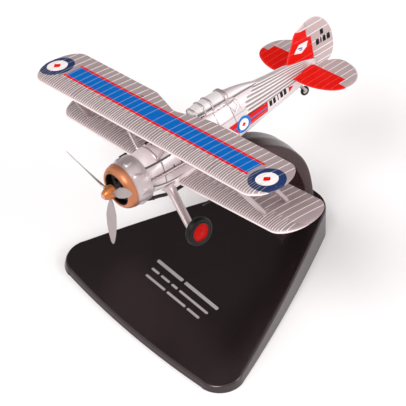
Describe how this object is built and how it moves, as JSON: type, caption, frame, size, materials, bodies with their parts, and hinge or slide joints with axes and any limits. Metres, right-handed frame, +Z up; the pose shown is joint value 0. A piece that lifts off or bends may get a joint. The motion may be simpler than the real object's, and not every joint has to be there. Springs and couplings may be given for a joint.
{
  "type": "biplane scale model on display stand",
  "caption": "Die-cast style biplane scale model with a free-turning propeller and wheels, held in a bank on a curved arm over a wedge-shaped display stand.",
  "frame": {"origin": "centre line of the stand on its flat underside, 50 mm behind the middle of the bowed front edge", "axes": "+X the way the aircraft points, +Y to its port side, +Z up; the underside of the stand is at z = 0"},
  "size_m": [0.1159, 0.1378, 0.1143],
  "materials": {
    "silver_dope": "satin",
    "silver_metal": "satin",
    "copper": "satin",
    "stand_black": "semi-gloss",
    "black_plastic": "matt",
    "dark_metal": "satin",
    "fin_red": "satin",
    "wheel_red": "satin",
    "tyre_rubber": "matt",
    "steel": "brushed",
    "clear_plastic": "clear",
    "seat_brown": "matt"
  },
  "bodies": {
    "stand": {"stand_base": "stand_black", "stand_underside_plate": "black_plastic", "support_arm": "stand_black", "mounting_peg": "steel", "arm_screw_front": "steel", "arm_screw_rear": "steel"},
    "aircraft": {"belly_screw_front": "steel", "belly_screw_rear": "steel", "canopy_frame": "silver_metal", "canopy_glazing": "clear_plastic", "copper_collector_ring": "copper", "engine_cowl": "silver_metal", "fin_and_rudder": "fin_red", "forward_decking": "silver_metal", "fuselage_casting": "silver_metal", "gun_sight": "dark_metal", "instrument_panel": "black_plastic", "lower_wing_and_belly": "silver_dope", "pilot_seat": "seat_brown", "port_axle_pin": "steel", "port_exhaust_pipe": "dark_metal", "port_front_cabane_strut": "silver_metal", "port_front_interplane_strut": "silver_metal", "port_gun_blast_tube": "silver_metal", "port_rear_cabane_strut": "silver_metal", "port_rear_interplane_strut": "silver_metal", "port_undercarriage_leg": "silver_metal", "port_underwing_gun": "dark_metal", "radial_engine": "dark_metal", "starboard_axle_pin": "steel", "starboard_exhaust_pipe": "dark_metal", "starboard_front_cabane_strut": "silver_metal", "starboard_front_interplane_strut": "silver_metal", "starboard_gun_blast_tube": "silver_metal", "starboard_rear_cabane_strut": "silver_metal", "starboard_rear_interplane_strut": "silver_metal", "starboard_undercarriage_leg": "silver_metal", "starboard_underwing_gun": "dark_metal", "tail_wheel_and_fork": "dark_metal", "tailplane_with_elevators": "silver_dope", "upper_wing": "silver_dope"},
    "propeller": {"propeller_blades": "silver_metal", "propeller_shaft": "steel", "spinner": "copper"},
    "port_wheel": {"port_tyre": "tyre_rubber", "port_wheel_disc": "wheel_red"},
    "starboard_wheel": {"starboard_tyre": "tyre_rubber", "starboard_wheel_disc": "wheel_red"}
  },
  "joints": [
    {"name": "aircraft_lift_off", "type": "slide", "parent": "stand", "child": "aircraft", "axis": [0.0177, -0.2287, 0.9733], "range_m": [0, 0.012]},
    {"name": "propeller_spin", "type": "hinge", "parent": "aircraft", "child": "propeller", "pos_m": [0.0559, 0.0001, 0.08171], "axis": [0.9996, -0.0192, -0.0227], "continuous": true},
    {"name": "port_wheel_spin", "type": "hinge", "parent": "aircraft", "child": "port_wheel", "pos_m": [0.03628, 0.02531, 0.06652], "axis": [0.0239, 0.9733, 0.2283], "continuous": true},
    {"name": "starboard_wheel_spin", "type": "hinge", "parent": "aircraft", "child": "starboard_wheel", "pos_m": [0.0353, -0.01479, 0.05712], "axis": [0.0239, 0.9733, 0.2283], "continuous": true}
  ]
}
